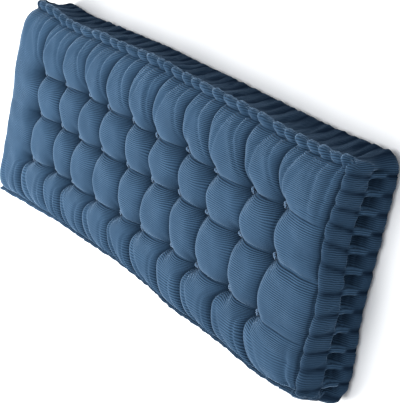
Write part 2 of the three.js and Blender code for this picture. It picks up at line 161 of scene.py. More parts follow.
# The border's section from the face's stitches down to the back's: how far in from the side, and
# how high, it lies on a lobe's crest and at a stitch
END_SECTION = table(
    "part crest_in crest_up stitch_in stitch_up",
    ("stitch line", 0.0240, 0.0990, 0.0250, 0.0930),
    ("inside of roll", 0.0180, 0.1070, 0.0215, 0.0995),
    ("top of roll", 0.0105, 0.1090, 0.0140, 0.1035),
    ("shoulder", 0.0030, 0.1010, 0.0070, 0.0985),
    ("front side", 0.0000, 0.0820, 0.0040, 0.0815),
    ("under the roll", 0.0005, 0.0670, 0.0050, 0.0665),
    ("pocket's lip", 0.0045, 0.0570, 0.0150, 0.0580),
    ("pocket", 0.0060, 0.0450, 0.0270, 0.0455),
    ("pocket's foot", 0.0030, 0.0330, 0.0160, 0.0325),
    ("back roll", 0.0005, 0.0210, 0.0050, 0.0205),
    ("back shoulder", 0.0020, 0.0070, 0.0055, 0.0080),
    ("back edge", 0.0110, 0.0000, 0.0130, 0.0000),
    ("back stitches", 0.0260, 0.0030, 0.0260, 0.0040),
)
LONG_SECTION = table(
    "part crest_in crest_up stitch_in stitch_up",
    ("stitch line", 0.0225, 0.1020, 0.0225, 0.0910),
    ("inside of roll", 0.0165, 0.1065, 0.0195, 0.0940),
    ("top of roll", 0.0105, 0.1085, 0.0150, 0.0965),
    ("shoulder", 0.0045, 0.1045, 0.0110, 0.0950),
    ("side of roll", 0.0020, 0.0950, 0.0090, 0.0890),
    ("under the roll", 0.0060, 0.0870, 0.0125, 0.0830),
    ("border's top", 0.0080, 0.0740, 0.0125, 0.0730),
    ("border's middle", 0.0070, 0.0530, 0.0115, 0.0530),
    ("border's foot", 0.0045, 0.0340, 0.0075, 0.0340),
    ("back roll", 0.0005, 0.0180, 0.0025, 0.0180),
    ("back shoulder", 0.0015, 0.0070, 0.0030, 0.0075),
    ("back edge", 0.0100, 0.0000, 0.0110, 0.0000),
    ("back stitches", 0.0260, 0.0030, 0.0260, 0.0040),
)
SECTION_STEPS = 46
SEAM_ROW = 3.5

# The stitches: how many from each column's crease to the next one's, and how many round the rest
PUFF_STITCHES = dict(top=[3, 2, 3, 2, 3, 3, 2, 3, 3], bottom=[3, 2, 3, 3, 3, 3, 2, 3, 3])
CORNER_STITCHES = dict(top_right=6, top_left=5, bottom_left=5, bottom_right=4)
END_STITCHES = 11
END_POCKETS_FROM, END_POCKETS_TO = -0.182, 0.197

# How far round the rolled edge's stitches lie from the pockets under them, at places across
SLANTS = table(
    "at by",
    (-0.182, -0.15),
    (-0.150, -0.25),
    (-0.090, -0.30),
    (-0.020, -0.20),
    (0.020, 0.45),
    (0.065, 0.60),
    (0.101, 0.55),
    (0.140, 0.30),
    (0.197, 0.20),
)
SLANT_BLEND = 0.01

# How things differ from one stitch to the next: by a spread about a middle, in a sine's uneven steps
VARIETY = dict(
    sewing=dict(middle=0.50, spread=0.11, pace=2.3, start=0.0),
    bead=dict(middle=0.84, spread=0.16, pace=2.7, start=1.1),
    pleat=dict(middle=0.75, spread=0.35, pace=2.4, start=0.7),
    tuck=dict(middle=0.50, spread=0.40, pace=3.1, start=0.0),
    ridge=dict(middle=0.0, spread=2.0, pace=2.1, start=0.0),
)


def smooth(t):
    """A soft step from 0 to 1 as t goes from 0 to 1."""
    t = np.clip(t, 0, 1)
    return t * t * (3 - 2 * t)


def ramp(t, start, end):
    """A soft step from 0 to 1 as t goes from start to end."""
    return smooth((t - start) / (end - start))


def within(t, starts, full, fades, ends):
    """1 while t lies from full to fades, and softly down to 0 at starts and at ends."""
    return ramp(t, starts, full) * ramp(t, ends, fades)


def arch(away, reach):
    """The rise of a round arch, from 0 at its foot to 1 once `reach` away from it."""
    return np.sqrt(1 - (1 - np.clip(away / reach, 0, 1)) ** 2)


def mix(a, b, share):
    return a + (b - a) * share


def column_of(rows, name):
    return np.array([row[name] for row in rows])


TABLE_BLEND = 0.02
BLEND_READINGS = 5


def read(rows, name, at, blend=TABLE_BLEND):
    """A named column of a table, read at places between its rows, and rounded off near them."""
    places, values = column_of(rows, "at"), column_of(rows, name)
    offsets = np.linspace(-blend, blend, BLEND_READINGS)
    return sum(np.interp(at + offset, places, values) for offset in offsets) / BLEND_READINGS


def through(values, at):
    """A smooth curve through evenly numbered values, read at the given numbers."""
    values = np.asarray(values)
    i = np.clip(np.floor(at).astype(int), 0, len(values) - 2)
    t = at - i
    before = values[np.clip(i - 1, 0, None)]
    after = values[np.clip(i + 2, None, len(values) - 1)]
    a, b = values[i], values[i + 1]
    rise_a, rise_b = (b - before) / 2, (after - a) / 2
    return a + (b - a) * smooth(t) + rise_a * (t**3 - 2 * t**2 + t) + rise_b * (t**3 - t**2)


def varied(name, number):
    """What VARIETY gives to the numbered stitch."""
    row = VARIETY[name]
    return row["middle"] + row["spread"] * np.sin(row["pace"] * number + row["start"])


WAVE_COUNT = 7
WAVE_PACES = (0.7, 1.5)
WAVE_GAIN = 1.6


def waves(x, y, length, seed):
    """Gentle unevenness of about that wavelength, from -1 to 1: a few sine waves that cross."""
    pick = np.random.default_rng(seed)
    turns = pick.uniform(0, pi, WAVE_COUNT)
    paces = pick.uniform(*WAVE_PACES, WAVE_COUNT)
    starts = pick.uniform(0, 2 * pi, WAVE_COUNT)
    total = 0
    for turn, pace, start in zip(turns, paces, starts):
        total = total + np.sin((x * np.cos(turn) + y * np.sin(turn)) * (2 * pi * pace / length) + start)
    return total / WAVE_COUNT * WAVE_GAIN


# The face's net: its steps in each column and row of puffs, how far they gather at the creases, and
# how far the outer rows' creases bow
COLUMN_STEPS = [38] + [31] * 9 + [40]
ROW_STEPS = [31, 30, 27, 36]
CREASE_GATHER = 0.35
BOWS = dict(top=0.018, bottom=0.044)
# A distance past every reach
FAR = 1.0


def crossings():
    """Where the net's lines cross, by column from the left and by row from the bottom."""
    side = HALF - STITCH_INSET
    columns = [
        [(tuft["bottom"], -side[1]), *(tuft[row] for row in TUFT_ROWS), (tuft["top"], side[1])]
        for tuft in TUFTS
    ]
    left = [(-side[0], y) for _, y in columns[0]]
    right = [(side[0], y) for _, y in columns[-1]]
    return np.array([left, *columns, right])


def steps_of(counts):
    """The net's lines one way: the cell each lies in, and how far across its cell it lies. They
    lie closer together near the creases."""
    even = np.concatenate([np.arange(count) / count for count in counts])
    cell = np.repeat(np.arange(len(counts)), counts)
    share = even - CREASE_GATHER * np.sin(2 * pi * even) / (2 * pi)
    return np.append(cell, len(counts) - 1), np.append(share, 1.0)


class Net:
    """The face's net, as grids of its points' places, and of where each lies in its cell."""

    def __init__(self):
        columns, across = steps_of(COLUMN_STEPS)
        rows, up = steps_of(ROW_STEPS)
        self.column, self.row = columns[:, None], rows[None, :]
        self.u, self.v = across[:, None], up[None, :]
        self.at_left, self.at_right = self.column == 0, self.column == columns[-1]
        self.at_bottom, self.at_top = self.row == 0, self.row == rows[-1]
        self.corner = crossings()
        low_left, low_right = self.corners(0, 0), self.corners(1, 0)
        high_left, high_right = self.corners(0, 1), self.corners(1, 1)
        u, v = self.u[..., None], self.v[..., None]
        left, right = mix(low_left, high_left, v), mix(low_right, high_right, v)
        low, high = mix(low_left, low_right, u), mix(high_left, high_right, u)
        plan = mix(left, right, u)
        self.x, self.y = plan[..., 0] - self.bow(), plan[..., 1]
        self.width = np.linalg.norm(right - left, axis=-1)
        self.height = np.linalg.norm(high - low, axis=-1)

    def corners(self, right, up):
        return self.corner[self.column + right, self.row + up]

    def bow(self):
        """How far the outer rows' creases bow to the left. The ends' own edges don't."""
        taper = np.where(self.at_left, self.u, np.where(self.at_right, 1 - self.u, 1))
        reach = np.where(self.at_bottom, BOWS["bottom"], np.where(self.at_top, BOWS["top"], 0))
        return reach * taper * np.sin(pi * self.v)

    def from_edges(self):
        """How far each point is from each of the face's four edges, and FAR in all other cells."""
        return dict(
            left=np.where(self.at_left, self.u * self.width, FAR),
            right=np.where(self.at_right, (1 - self.u) * self.width, FAR),
            bottom=np.where(self.at_bottom, self.v * self.height, FAR),
            top=np.where(self.at_top, (1 - self.v) * self.height, FAR),
        )

    def from_creases(self):
        """How far each point is from the nearest crease across, and from the nearest one along."""
        across = np.minimum(
            np.where(self.at_left, FAR, self.u * self.width),
            np.where(self.at_right, FAR, (1 - self.u) * self.width),
        )
        along = np.minimum(
            np.where(self.at_bottom, FAR, self.v * self.height),
            np.where(self.at_top, FAR, (1 - self.v) * self.height),
        )
        return across, along


def from_tufts(x, y):
    """For each tuft: its column and row, and how far each point is from it along X and along Y."""
    for column, tuft in enumerate(TUFTS):
        for row, name in enumerate(TUFT_ROWS):
            yield column, row, x - tuft[name][0], y - tuft[name][1]


def round_corners(x, y, inset):
    """Moves the points in each corner's square to the same places in a quarter disc."""
    radius = CORNER_RADIUS - inset
    a, b = HALF - inset - radius
    u = np.clip((np.abs(x) - a) / radius, 0, None)
    v = np.clip((np.abs(y) - b) / radius, 0, None)
    px = np.where(u > 0, np.sign(x) * (a + radius * u * np.sqrt(1 - v * v / 2)), x)
    py = np.where(v > 0, np.sign(y) * (b + radius * v * np.sqrt(1 - u * u / 2)), y)
    return px, py


def rim_of(ids):
    """The rim of a grid of ids as a loop, anticlockwise from its lower right corner."""
    return np.concatenate([ids[-1, :-1], ids[::-1, -1][:-1], ids[0, ::-1][:-1], ids[:-1, 0]])


def sides_of(points):
    """For a loop of points inside the sides: the place on the sides outside each, and the way out."""
    centre = np.clip(points, CORNER_RADIUS - HALF, HALF - CORNER_RADIUS)
    way = points - centre
    way = way / np.linalg.norm(way, axis=1)[:, None]
    return centre + way * CORNER_RADIUS, way


def travelled(points):
    """How far round a closed loop each of its points is, and the whole way round."""
    steps = np.linalg.norm(np.roll(points, -1, axis=0) - points, axis=1)
    return np.concatenate([[0], np.cumsum(steps)[:-1]]), steps.sum()


def count_stitches(side):
    """Where each point of a loop on the sides lies among the stitches, which are whole numbers."""
    way_round, whole = travelled(side)
    pockets = [END_POCKETS_FROM, END_POCKETS_TO]
    top, bottom = column_of(TUFTS, "top"), column_of(TUFTS, "bottom")
    legs = [
        dict(side=(0, 1), at=pockets, steps=[END_STITCHES], corner="top_right"),
        dict(side=(1, 1), at=top[::-1], steps=PUFF_STITCHES["top"][::-1], corner="top_left"),
        dict(side=(0, -1), at=pockets[::-1], steps=[END_STITCHES], corner="bottom_left"),
        dict(side=(1, -1), at=bottom, steps=PUFF_STITCHES["bottom"], corner="bottom_right"),
    ]
    knots = []
    number = 0
    last_way = 0
    for leg in legs:
        axis, sign = leg["side"]
        here = np.isclose(side[:, axis], sign * HALF[axis])
        places, ways = side[here, 1 - axis], way_round[here]
        order = np.argsort(places)
        for place, step in zip(leg["at"], [0, *leg["steps"]]):
            here_way = np.interp(place, places[order], ways[order])
            if 0 < step < END_STITCHES:
                # The hand sews closer together on one half of each puff
                knots.append(((last_way + here_way) / 2, number + step * varied("sewing", number)))
            number += step
            knots.append((here_way, number))
            last_way = here_way
        number += CORNER_STITCHES[leg["corner"]]
    ways, numbers = np.array(knots).T
    ways = np.concatenate([ways - whole, ways, ways + whole])
    numbers = np.concatenate([numbers - number, numbers, numbers + number])
    return np.interp(way_round, ways, numbers), number


def crest_of(phase, sharpness):
    """1 on the crest of a lobe and 0 at its stitches, with a fold at each stitch."""
    return np.abs(np.sin(pi * phase)) ** sharpness


# How far in the face's edges, creases and tufts draw the puffs down
EDGE_REACHES = dict(top=0.048, bottom=0.048, right=0.046, left=0.085)
CREASE_REACH = 0.027
CREASE_BLEND = 0.1
END_FADE = dict(left=0.03, right=0.05)
TUFT_REACH = 0.046
TUFT_PAD = 0.003


def kept_at_edges(net):
    """The share of the puffs' height that is kept towards the edges of the face."""
    from_edges = net.from_edges()
    edge_drop = THICKNESS - END_SECTION[0]["crest_up"]
    kept = 1
    for name, reach in EDGE_REACHES.items():
        kept = kept * (1 - edge_drop / TUFT_DEPTH * (1 - arch(from_edges[name], reach)))
    return kept


def kept_at_creases(net):
    """The share of the puffs' height that is kept over the creases and the tufts."""
    across, along = net.from_creases()
    depth = read(CREASE_DEPTHS, "depth", net.row + net.v, CREASE_BLEND)
    kept = 1 - depth / TUFT_DEPTH * (1 - arch(across, CREASE_REACH))
    nearest = np.clip(np.round(net.row + net.v).astype(int) - 1, 0, len(ROWS) - 1)
    past_left = np.where(net.at_left, smooth((1 - net.u) * net.width / END_FADE["left"]), 0)
    past_right = np.where(net.at_right, smooth(net.u * net.width / END_FADE["right"]), 0)
    depth = ROW_CREASE_DEPTH * mix(1, column_of(ROWS, "at_left")[nearest], past_left)
    depth = depth * mix(1, column_of(ROWS, "at_right")[nearest], past_right)
    kept = kept * (1 - depth / TUFT_DEPTH * (1 - arch(along, CREASE_REACH)))
    for *_, dx, dy in from_tufts(net.x, net.y):
        kept = kept * arch(np.maximum(np.hypot(dx, dy) - TUFT_PAD, 0), TUFT_REACH)
    return kept


DOME = 0.004
CROWN_DRIFT = 0.0015
DRIFT_PACES = dict(column=2.3, row=1.7)


def crown_of(net):
    """The height of the puffs' crowns: a little domed, and each one its own. The bolster along the
    left end is one long crown."""
    across, along = net.from_creases()
    on_puffs = np.where(net.at_left, 0, 1)
    nearer = [
        1 - np.clip(2 * across / net.width, 0, 1),
        on_puffs * (1 - np.clip(2 * along / net.height, 0, 1)),
    ]
    drift = np.sin(DRIFT_PACES["column"] * net.column + DRIFT_PACES["row"] * net.row * on_puffs)
    return THICKNESS - CROWN_DRIFT * (1 + drift) - DOME * sum(t**2 for t in nearer) / 2


# The folds that run in from the stitches: a pleat at each, and a smaller tuck between two
PLEAT_DEPTHS = dict(top=0.0130, bottom=0.0150, right=0.0060, left=0.0005)
PLEAT = dict(sharpness=0.55, fade=0.85)
TUCK = dict(sharpness=0.60, fade=1.5, share=0.55)
PLEAT_GATHER = dict(share=0.92, power=1.7)


def pleats(cell, share, away, edge, lines):
    """How far the folds that run in from an edge's stitches sink the face. They draw together
    towards the tufts at the cell's two corners, where it has them."""
    gather = PLEAT_GATHER["share"] * away ** PLEAT_GATHER["power"]
    near_first = np.minimum(0.5, share / (1 - gather * (cell > 0)))
    near_last = 1 - np.minimum(0.5, (1 - share) / (1 - gather * (cell < len(lines) - 2)))
    start = mix(lines[cell], lines[cell + 1], np.where(share < 0.5, near_first, near_last))
    phase = np.interp(start, *edge)
    between = phase + 0.5
    pleat = varied("pleat", np.round(phase)) * (1 - crest_of(phase, PLEAT["sharpness"]))
    tuck = (1 - crest_of(between, TUCK["sharpness"])) * varied("tuck", np.round(between))
    return pleat * (1 - away) ** PLEAT["fade"] + TUCK["share"] * tuck * (1 - away) ** TUCK["fade"]


def edge_pleats(net, edges):
    """For each edge of the face, how far the folds along it sink the face."""
    across, along = dict(cell=net.column, share=net.u), dict(cell=net.row, share=net.v)
    sides = dict(
        top=dict(across, away=np.where(net.at_top, 1 - net.v, 1), lines=net.corner[:, -1, 0]),
        bottom=dict(across, away=np.where(net.at_bottom, net.v, 1), lines=net.corner[:, 0, 0]),
        right=dict(along, away=np.where(net.at_right, 1 - net.u, 1), lines=net.corner[-1, :, 1]),
        left=dict(along, away=np.where(net.at_left, net.u, 1), lines=net.corner[0, :, 1]),
    )
    for name, side in sides.items():
        yield PLEAT_DEPTHS[name] * pleats(edge=edges[name], **side)


FACE_SWELLS = table("length height seed", (0.05, 0.0009, 3), (0.12, 0.0014, 4))
# The little folds that ring each tuft
TUFT_FOLDS = dict(pace=2.5, depth=0.002, away=0.017, spread=0.012)
# Shade painted along the face's rim: how dark it is, and how far in it reaches
RIM_PAINTED_SHADE = dict(share=0.5, reach=0.010)


def face_height(net, edges):
    """The height of the face over its net: puffs over creases and tufts, and folds at the stitches.
    Also the shade painted on the face, darkest in the creases, round the tufts and along its rim."""
    open_face = kept_at_creases(net)
    height = mix(THICKNESS - TUFT_DEPTH, crown_of(net), kept_at_edges(net) * open_face)
    for depth in edge_pleats(net, edges):
        height = height - depth
    for swell in FACE_SWELLS:
        height = height + swell["height"] * waves(net.x, net.y, swell["length"], swell["seed"])
    for column, row, dx, dy in from_tufts(net.x, net.y):
        folds = np.abs(np.sin(TUFT_FOLDS["pace"] * np.arctan2(dy, dx) + column + 2 * row))
        off_ring = (np.hypot(dx, dy) - TUFT_FOLDS["away"]) / TUFT_FOLDS["spread"]
        height = height - TUFT_FOLDS["depth"] * (1 - folds) * np.exp(-(off_ring**2))
    # The shade painted on the face: darkest in the creases and round the tufts, and along its rim
    rim = np.minimum.reduce(list(net.from_edges().values()))
    at_rim = RIM_PAINTED_SHADE["share"] * (1 - smooth(rim / RIM_PAINTED_SHADE["reach"]))
    return height, np.maximum(1 - open_face, at_rim)


# Where a part of the way round begins, and where it is full: an end by the square of the way out
# along X, a right-hand corner by that X times its Y, the bottom by how far down the way out points,
# and the left half by the place along the cushion
END_TURN = (1 / 7, 6 / 7)
CORNER_TURN = (1 / 12, 1 / 2)
BOTTOM_TURN = (0.5, 0.9)
LEFT_HALF = (-0.15, -0.45)

# Stretches of the border's section, by the rows of its tables
ROLL_ROWS = dict(starts=0.5, full=2.0, fades=5.5, ends=7.0)
BORDER_ROWS = dict(starts=4.5, full=5.5, fades=9.0, ends=10.5)
POCKET_ROWS = dict(starts=4.92, full=6.22, fades=7.78, ends=9.08)
SLANT_ROWS = (0, 6.4)
TWIST_ROWS = (0, 4.5)
STITCH_ROWS = (1.5, 3.5)
UNDER_ROWS = (4.0, 5.5)
FOOT_ROWS = (3.5, 9.5)

# The beads of the rolled edge, which are plainer along the bottom
BEAD_TWIST = 0.34
BEAD_STRETCH = 0.72
BEAD_SHARPNESS = 0.75
BOTTOM_PLAINNESS = 0.75

# The pockets in the ends, from one stitch to the next: how they open, and the ridges in them
POCKET_OPENING = dict(starts=0.14, full=0.26, fades=0.77, ends=0.89)
# How the shade painted in each pocket grows from one side of it to the other
POCKET_SHADE_GROWS = (0.15, 0.75)
RIDGE_PITCH = 0.0080
RIDGE_HEIGHT = 0.0022

# How far the right-hand corners bulge under the roll, and between which rows
CORNER_BULGE = 0.011
BULGE_FROM, BULGE_TO = 3.5, 10.0

# The cloth's creases round the border: their length and depth, how much they slant, how fast they
# change across their length, and their seed
CREASING = dict(
    gathers=dict(length=0.018, depth=0.0020, slant=0.25, across=0.15, seed=5),
    wrinkles=dict(length=0.006, depth=0.0004, slant=0.0, across=0.30, seed=6),
    crumples=dict(length=0.011, depth=0.0016, slant=0.50, across=0.30, seed=8),
    ripples=dict(length=0.009, depth=0.0010, slant=-0.30, across=0.30, seed=9),
)
# The cloth gathers more on the long sides than on the ends, and crumples less
SIDE_GATHER = 1.4
SIDE_CRUMPLE = 0.6

# How much shade is painted on the border, on its roll and under it: 0 in the open, and 1 as dark as
# where no light comes in
SIDE_PAINTED_SHADE = dict(roll=0.25, under=0.45, foot=0.65, stitch=0.20)
BOTTOM_PAINTED_SHADE = dict(roll=0.50, under=0.76)
BOTTOM_LEFT_PAINTED_SHADE = dict(roll=0.05, under=0.60)
END_PAINTED_SHADE = dict(roll=0.48, under=0.15, stitch=0.55, stitch_top=0.5)
POCKET_PAINTED_SHADE = dict(lip=0.40, inside=0.60, plain=0.78, ridge=0.22, shallow=0.45)


class Border:
    """The border round the cushion, row by row from the face's stitches down to the back's."""

    def __init__(self, side, way, number, way_round):
        self.side, self.way = side, way
        self.number, self.way_round = number, way_round
        self.on_end = ramp(way[:, 0] ** 2, *END_TURN)
        self.on_corner = ramp(np.clip(way[:, 0], 0, 1) * np.abs(way[:, 1]), *CORNER_TURN)
        self.at_bottom = ramp(-way[:, 1], *BOTTOM_TURN)
        self.slant = read(SLANTS, "by", side[:, 1], SLANT_BLEND) * self.on_end

    def section(self, name, place):
        """A named column of the border's two sections, mixed by how far a point is on an end."""
        ends = through(column_of(END_SECTION, name), place)
        longs = through(column_of(LONG_SECTION, name), place)
        return mix(longs, ends, self.on_end)

    def folds(self, place):
        """A row's folds: where each point lies among the stitches, how full its lobe is, whether it
        is in a pocket's stretch, and how far out of the folds it stands."""
        slant = self.slant * (1 - ramp(place, *SLANT_ROWS)) * np.sign(self.way[:, 0])
        on_top = np.clip(self.way[:, 1], 0, 1)
        twist = BEAD_TWIST * ramp(place, *TWIST_ROWS) * (1 - self.on_end) * on_top
        phase = self.number - slant - twist
        bead = crest_of(phase, BEAD_SHARPNESS) * varied("bead", np.floor(phase))
        lobe = mix(bead, 1, BOTTOM_PLAINNESS * self.at_bottom)
        opening = within(phase % 1.0, **POCKET_OPENING)
        pocket = within(place, **POCKET_ROWS) * self.on_end * (1 - self.on_corner)
        return dict(phase=phase, lobe=lobe, pocket=pocket, crest=mix(lobe, 1 - opening, pocket))

    def creasing(self, name, down):
        """The depth of one kind of crease, at places down or in from the border's edge."""
        kind = CREASING[name]
        round_at = self.way_round + kind["slant"] * down
        return waves(round_at, kind["across"] * down, kind["length"], kind["seed"]) * kind["depth"]

    def section_at(self, place, crest):
        """How far in from the side a row's points lie, and how high, with the cloth's creases."""
        inset = mix(self.section("stitch_in", place), self.section("crest_in", place), crest)
        up = mix(self.section("stitch_up", place), self.section("crest_up", place), crest)
        bulge = np.sin(pi * np.clip((place - BULGE_FROM) / (BULGE_TO - BULGE_FROM), 0, 1))
        inset = inset - CORNER_BULGE * self.on_corner * bulge
        below = within(place, **BORDER_ROWS)
        gather = self.creasing("gathers", up) + self.creasing("wrinkles", up)
        inset = inset + gather * below * (SIDE_GATHER - self.on_end)
        roll = within(place, **ROLL_ROWS)
        inset = inset + self.creasing("crumples", up) * roll * mix(SIDE_CRUMPLE, 1, self.on_end)
        up = up + self.creasing("ripples", inset) * (1 - below) * smooth(place)
        return inset, up

    def painted_shade(self, place, folds, ridges):
        """How much shade is painted on the border at a row's points."""
        under = ramp(place, *UNDER_ROWS)
        below_roll = mix(SIDE_PAINTED_SHADE["under"], SIDE_PAINTED_SHADE["foot"], ramp(place, *FOOT_ROWS))
        at_stitch = SIDE_PAINTED_SHADE["stitch"] * (1 - folds["lobe"])
        side_painted_shade = SIDE_PAINTED_SHADE["roll"] + below_roll * under + at_stitch
        bottom_painted_shade = mix(BOTTOM_PAINTED_SHADE["roll"], BOTTOM_PAINTED_SHADE["under"], under)
        left_painted_shade = mix(BOTTOM_LEFT_PAINTED_SHADE["roll"], BOTTOM_LEFT_PAINTED_SHADE["under"], under)
        bottom_painted_shade = mix(bottom_painted_shade, left_painted_shade, ramp(self.side[:, 0], *LEFT_HALF))
        valley = (1 - crest_of(folds["phase"], 1)) ** 2
        valley = valley * mix(END_PAINTED_SHADE["stitch_top"], 1, ramp(place, *STITCH_ROWS))
        end_painted_shade = END_PAINTED_SHADE["roll"] + END_PAINTED_SHADE["under"] * under + END_PAINTED_SHADE["stitch"] * valley
        shade_growing = mix(POCKET_PAINTED_SHADE["shallow"], 1, ramp(folds["phase"] % 1.0, *POCKET_SHADE_GROWS))
        ridged = POCKET_PAINTED_SHADE["plain"] + POCKET_PAINTED_SHADE["ridge"] * ridges
        inside = (1 - folds["crest"]) * ridged * shade_growing
        pocket_painted_shade = POCKET_PAINTED_SHADE["lip"] + POCKET_PAINTED_SHADE["inside"] * inside
        end_painted_shade = mix(end_painted_shade, pocket_painted_shade, folds["pocket"])
        return mix(mix(side_painted_shade, bottom_painted_shade, self.at_bottom), end_painted_shade, self.on_end)

    def row(self, place):
        """A row's points, and how much shade is painted on the border at each."""
        folds = self.folds(place)
        inset, up = self.section_at(place, folds["crest"])
        ridges = np.sin(up * (2 * pi / RIDGE_PITCH) + varied("ridge", np.floor(folds["phase"])))
        inset = inset + ridges * RIDGE_HEIGHT * folds["pocket"] * (1 - folds["crest"])
        points = np.column_stack([self.side - self.way * inset[:, None], up])
        return points, self.painted_shade(place, folds, ridges)


# Between which heights, and how far in from the sides, the cushion is drawn in and its edge lowered
FRONT_HEIGHTS = (0.015, 0.090)
DROP_HEIGHTS = (0.030, 0.090)
DROP_REACH = (0.040, 0.018)
LEAN_REACH = 0.10
LEAN_POWER = 1.5
# The two sides where the rolled edge is squeezed, to what share of its width, and how far in
SQUEEZED = table(
    "side axis share reach",
    ("left", 0, 0.45, (0.110, 0.025)),
    ("bottom", 1, 0.55, (0.090, 0.025)),
)


def lean(points):
    """Draws the sides in, and lowers the rolled edge, by the amounts in SIDES. At the left end the
    bolster stands out over the rolled edge."""
    x, y, z = points.T
    away = dict(right=HALF[0] - x, left=HALF[0] + x, top=HALF[1] - y, bottom=HALF[1] + y)
    front = ramp(z, *FRONT_HEIGHTS)
    drop = 0
    moved = points.copy()
    for squeeze in SQUEEZED:
        side, axis = away[squeeze["side"]], squeeze["axis"]
        squeezed = side * squeeze["share"] - HALF[axis]
        moved[:, axis] = mix(points[:, axis], squeezed, ramp(side, *squeeze["reach"]) * front)
    for name, axis, sign in (("right", 0, -1), ("left", 0, 1), ("top", 1, -1), ("bottom", 1, 1)):
        at = y if axis == 0 else x
        out = np.clip(1 - (away[name] - STITCH_INSET) / LEAN_REACH, 0, 1)
        inward = mix(read(SIDES[name], "back", at), read(SIDES[name], "front", at), front)
        moved[:, axis] += sign * inward * out**LEAN_POWER
        drop = np.maximum(drop, read(SIDES[name], "drop", at) * ramp(away[name], *DROP_REACH))
    moved[:, 2] -= drop * ramp(z, *DROP_HEIGHTS)
    return moved


BACK_STEP = 3
BACK_INSET = 0.029
BACK_CREASE = dict(depth=0.0035, reach=0.012)
BACK_TUFT = dict(depth=0.009, reach=0.022, power=1.5)
BACK_RIM = dict(depth=0.0038, reach=0.012)


def back_of(net):
    """The back, on every third line of the face's net: flat, but for shallow pulls at the tufts and
    creases. Returns its points."""
    x, y, across, along, *edges = (
        grid[::BACK_STEP, ::BACK_STEP]
        for grid in (net.x, net.y, *net.from_creases(), *net.from_edges().values())
    )
    pull = BACK_CREASE["depth"] * (1 - arch(np.minimum(across, along), BACK_CREASE["reach"]))
    for *_, dx, dy in from_tufts(x, y):
        near = np.clip(1 - np.hypot(dx, dy) / BACK_TUFT["reach"], 0, 1)
        pull = np.maximum(pull, BACK_TUFT["depth"] * near ** BACK_TUFT["power"])
    at_rim = 1 - smooth(np.minimum.reduce(edges) / BACK_RIM["reach"])
    height = np.maximum(pull, BACK_RIM["depth"] * at_rim)
    shrink = (HALF - BACK_INSET) / (HALF - STITCH_INSET)
    x, y = round_corners(x * shrink[0], y * shrink[1], BACK_INSET)
    return np.stack([x, y, height], axis=-1)


def zip_loops(outer, outer_at, inner, inner_at):
    """Triangles between two loops that run the same way round and start at the same place."""
    faces = []
    i = j = 0
    a = np.append(outer_at, outer_at[0] + 1)
    b = np.append(inner_at, inner_at[0] + 1)
    while i < len(outer) or j < len(inner):
        if j >= len(inner) or (i < len(outer) and a[i + 1] < b[j + 1]):
            faces.append((outer[i], inner[j % len(inner)], outer[(i + 1) % len(outer)]))
            i += 1
        else:
            faces.append((outer[i % len(outer)], inner[j], inner[(j + 1) % len(inner)]))
            j += 1
    return faces


def quads_of(ids):
    return np.stack([ids[:-1, :-1], ids[1:, :-1], ids[1:, 1:], ids[:-1, 1:]], axis=-1).reshape(-1, 4)


def stitches_by_edge(net, rim, number, whole):
    """For each edge of the face: places along it, and the number of the stitch at each."""
    on_rim = np.zeros(net.x.size)
    on_rim[rim] = number
    on_rim = on_rim.reshape(net.x.shape)
    slant = read(SLANTS, "by", net.y[-1], SLANT_BLEND)
    return dict(
        top=(net.x[:, -1], np.unwrap(on_rim[:, -1], period=whole)),
        bottom=(net.x[:, 0], np.unwrap(on_rim[:, 0], period=whole)),
        left=(net.y[0], np.unwrap(on_rim[0], period=whole)),
        right=(net.y[-1], np.unwrap(on_rim[-1], period=whole) - slant),
    )


FACE_ABOVE = 0.07
RIB_FAN = dict(share=0.6, reach=0.028)


def fan_out(points):
    """The cloth's coordinates over the points, with its ribs fanned out a little round each tuft."""
    on_face = points[:, 2] > FACE_ABOVE
    cloth = points[:, :2].copy()
    for *_, dx, dy in from_tufts(points[:, 0], points[:, 1]):
        near = np.exp(-(dx**2 + dy**2) / RIB_FAN["reach"] ** 2)
        cloth[:, 1] += RIB_FAN["share"] * dy * near * on_face
    return cloth


def round_quads(upper, lower):
    """For two loops, what they hold at the corners of each quad between them."""
    return np.stack([upper, lower, np.roll(lower, -1), np.roll(upper, -1)], axis=1)


def border_faces(loops, cloth, down, way_round, whole):
    """The border's faces, and the cloth's coordinates at their corners. Below the seam the cloth is a
    strip with its ribs across it."""
    faces = []
    uvs = []
    seam = SEAM_ROW / (len(END_SECTION) - 1) * SECTION_STEPS
    following = np.append(way_round[1:], whole)
    for k, (upper, lower) in enumerate(zip(loops, loops[1:])):
        quads = round_quads(upper, lower)
        faces += quads.tolist()
        if k < seam:
            uvs += list(cloth[quads])
        else:
            along = np.stack([way_round, way_round, following, following], axis=1)
            uvs += list(np.stack([round_quads(down[k], down[k + 1]), along], axis=-1))
    return faces, uvs


def back_faces(last, back, points):
    """The back's faces, with those that join it to the border's last row of points."""
    inner = rim_of(back)
    last_at, last_whole = travelled(points[last])
    inner_at, inner_whole = travelled(points[inner])
    joining = zip_loops(last.tolist(), last_at / last_whole, inner.tolist(), inner_at / inner_whole)
    return quads_of(back)[:, ::-1].tolist() + joining


def add_to_scene(name, data):
    added = bpy.data.objects.new(name, data)
    bpy.context.scene.collection.objects.link(added)
    return added


def add_mesh(name, points, faces):
    """A piece of these points and faces, with smooth shading."""
    mesh = bpy.data.meshes.new(name)
    mesh.from_pydata(points, [], faces)
    mesh.update()
    mesh.polygons.foreach_set("use_smooth", np.ones(len(faces), dtype=bool))
    return add_to_scene(name, mesh)


